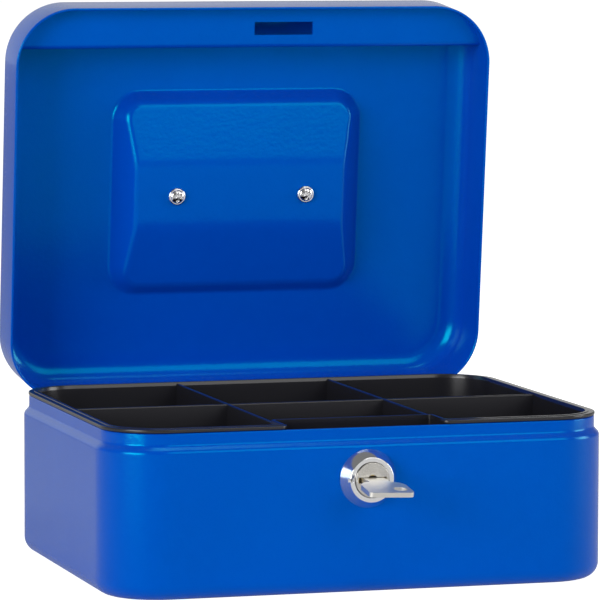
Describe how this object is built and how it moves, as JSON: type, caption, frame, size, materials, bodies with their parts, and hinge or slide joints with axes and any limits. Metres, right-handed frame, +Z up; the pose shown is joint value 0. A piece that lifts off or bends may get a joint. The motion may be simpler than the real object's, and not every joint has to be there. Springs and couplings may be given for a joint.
{
  "type": "cash box",
  "caption": "Rounded steel cash box with a hinged lid resting open, lift-out compartment tray, cylinder lock with key, and a folding handle in a lid recess.",
  "frame": {"origin": "middle of the underside of the box body", "axes": "+X to the right seen from the lock side, -Y out of the lock side, +Z up; the lid stands open at rest"},
  "size_m": [0.2, 0.2214, 0.2189],
  "materials": {
    "enamel": "gloss powder coat",
    "hinge_steel": "zinc plated",
    "bright_chrome": "polished",
    "zinc_plate": "zinc plated",
    "tray_plastic": "satin black",
    "nickel": "satin nickel",
    "tumbler_brass": "plain",
    "key_nickel": "nickel plated",
    "handle_chrome": "polished"
  },
  "bodies": {
    "base": {"body_shell": "enamel", "left_body_leaf": "enamel", "right_body_leaf": "enamel", "left_hinge_pin": "hinge_steel", "right_hinge_pin": "hinge_steel", "lock_bezel": "bright_chrome", "lock_housing": "zinc_plate", "lock_nut": "zinc_plate"},
    "tray": {"coin_tray": "tray_plastic"},
    "plug": {"lock_plug": "nickel", "wafer_tumblers": "tumbler_brass", "lock_cam": "zinc_plate", "cam_screw": "zinc_plate"},
    "key": {"door_key": "key_nickel"},
    "lid": {"lid_shell": "enamel", "catch_plate": "enamel", "left_lid_leaf": "enamel", "right_lid_leaf": "enamel", "left_handle_post": "handle_chrome", "right_handle_post": "handle_chrome", "handle_screws": "bright_chrome"},
    "handle": {"handle_bail": "handle_chrome"}
  },
  "joints": [
    {"name": "lid_hinge", "type": "hinge", "parent": "base", "child": "lid", "pos_m": [0, 0.082, 0.05545], "axis": [-1, 0, 0], "range_deg": [-84, 0]},
    {"name": "tray_lift", "type": "slide", "parent": "base", "child": "tray", "axis": [0, 0, 1], "range_m": [0, 0.038]},
    {"name": "lock_turn", "type": "hinge", "parent": "base", "child": "plug", "pos_m": [0, -0.08, 0.0437], "axis": [0, -1, 0], "range_deg": [0, 90]},
    {"name": "key_slide", "type": "slide", "parent": "plug", "child": "key", "axis": [0, -1, 0], "range_m": [0, 0.025]},
    {"name": "handle_swing", "type": "hinge", "parent": "lid", "child": "handle", "pos_m": [0, 0.09983, 0.13978], "axis": [1, 0, 0], "range_deg": [0, 180]}
  ]
}
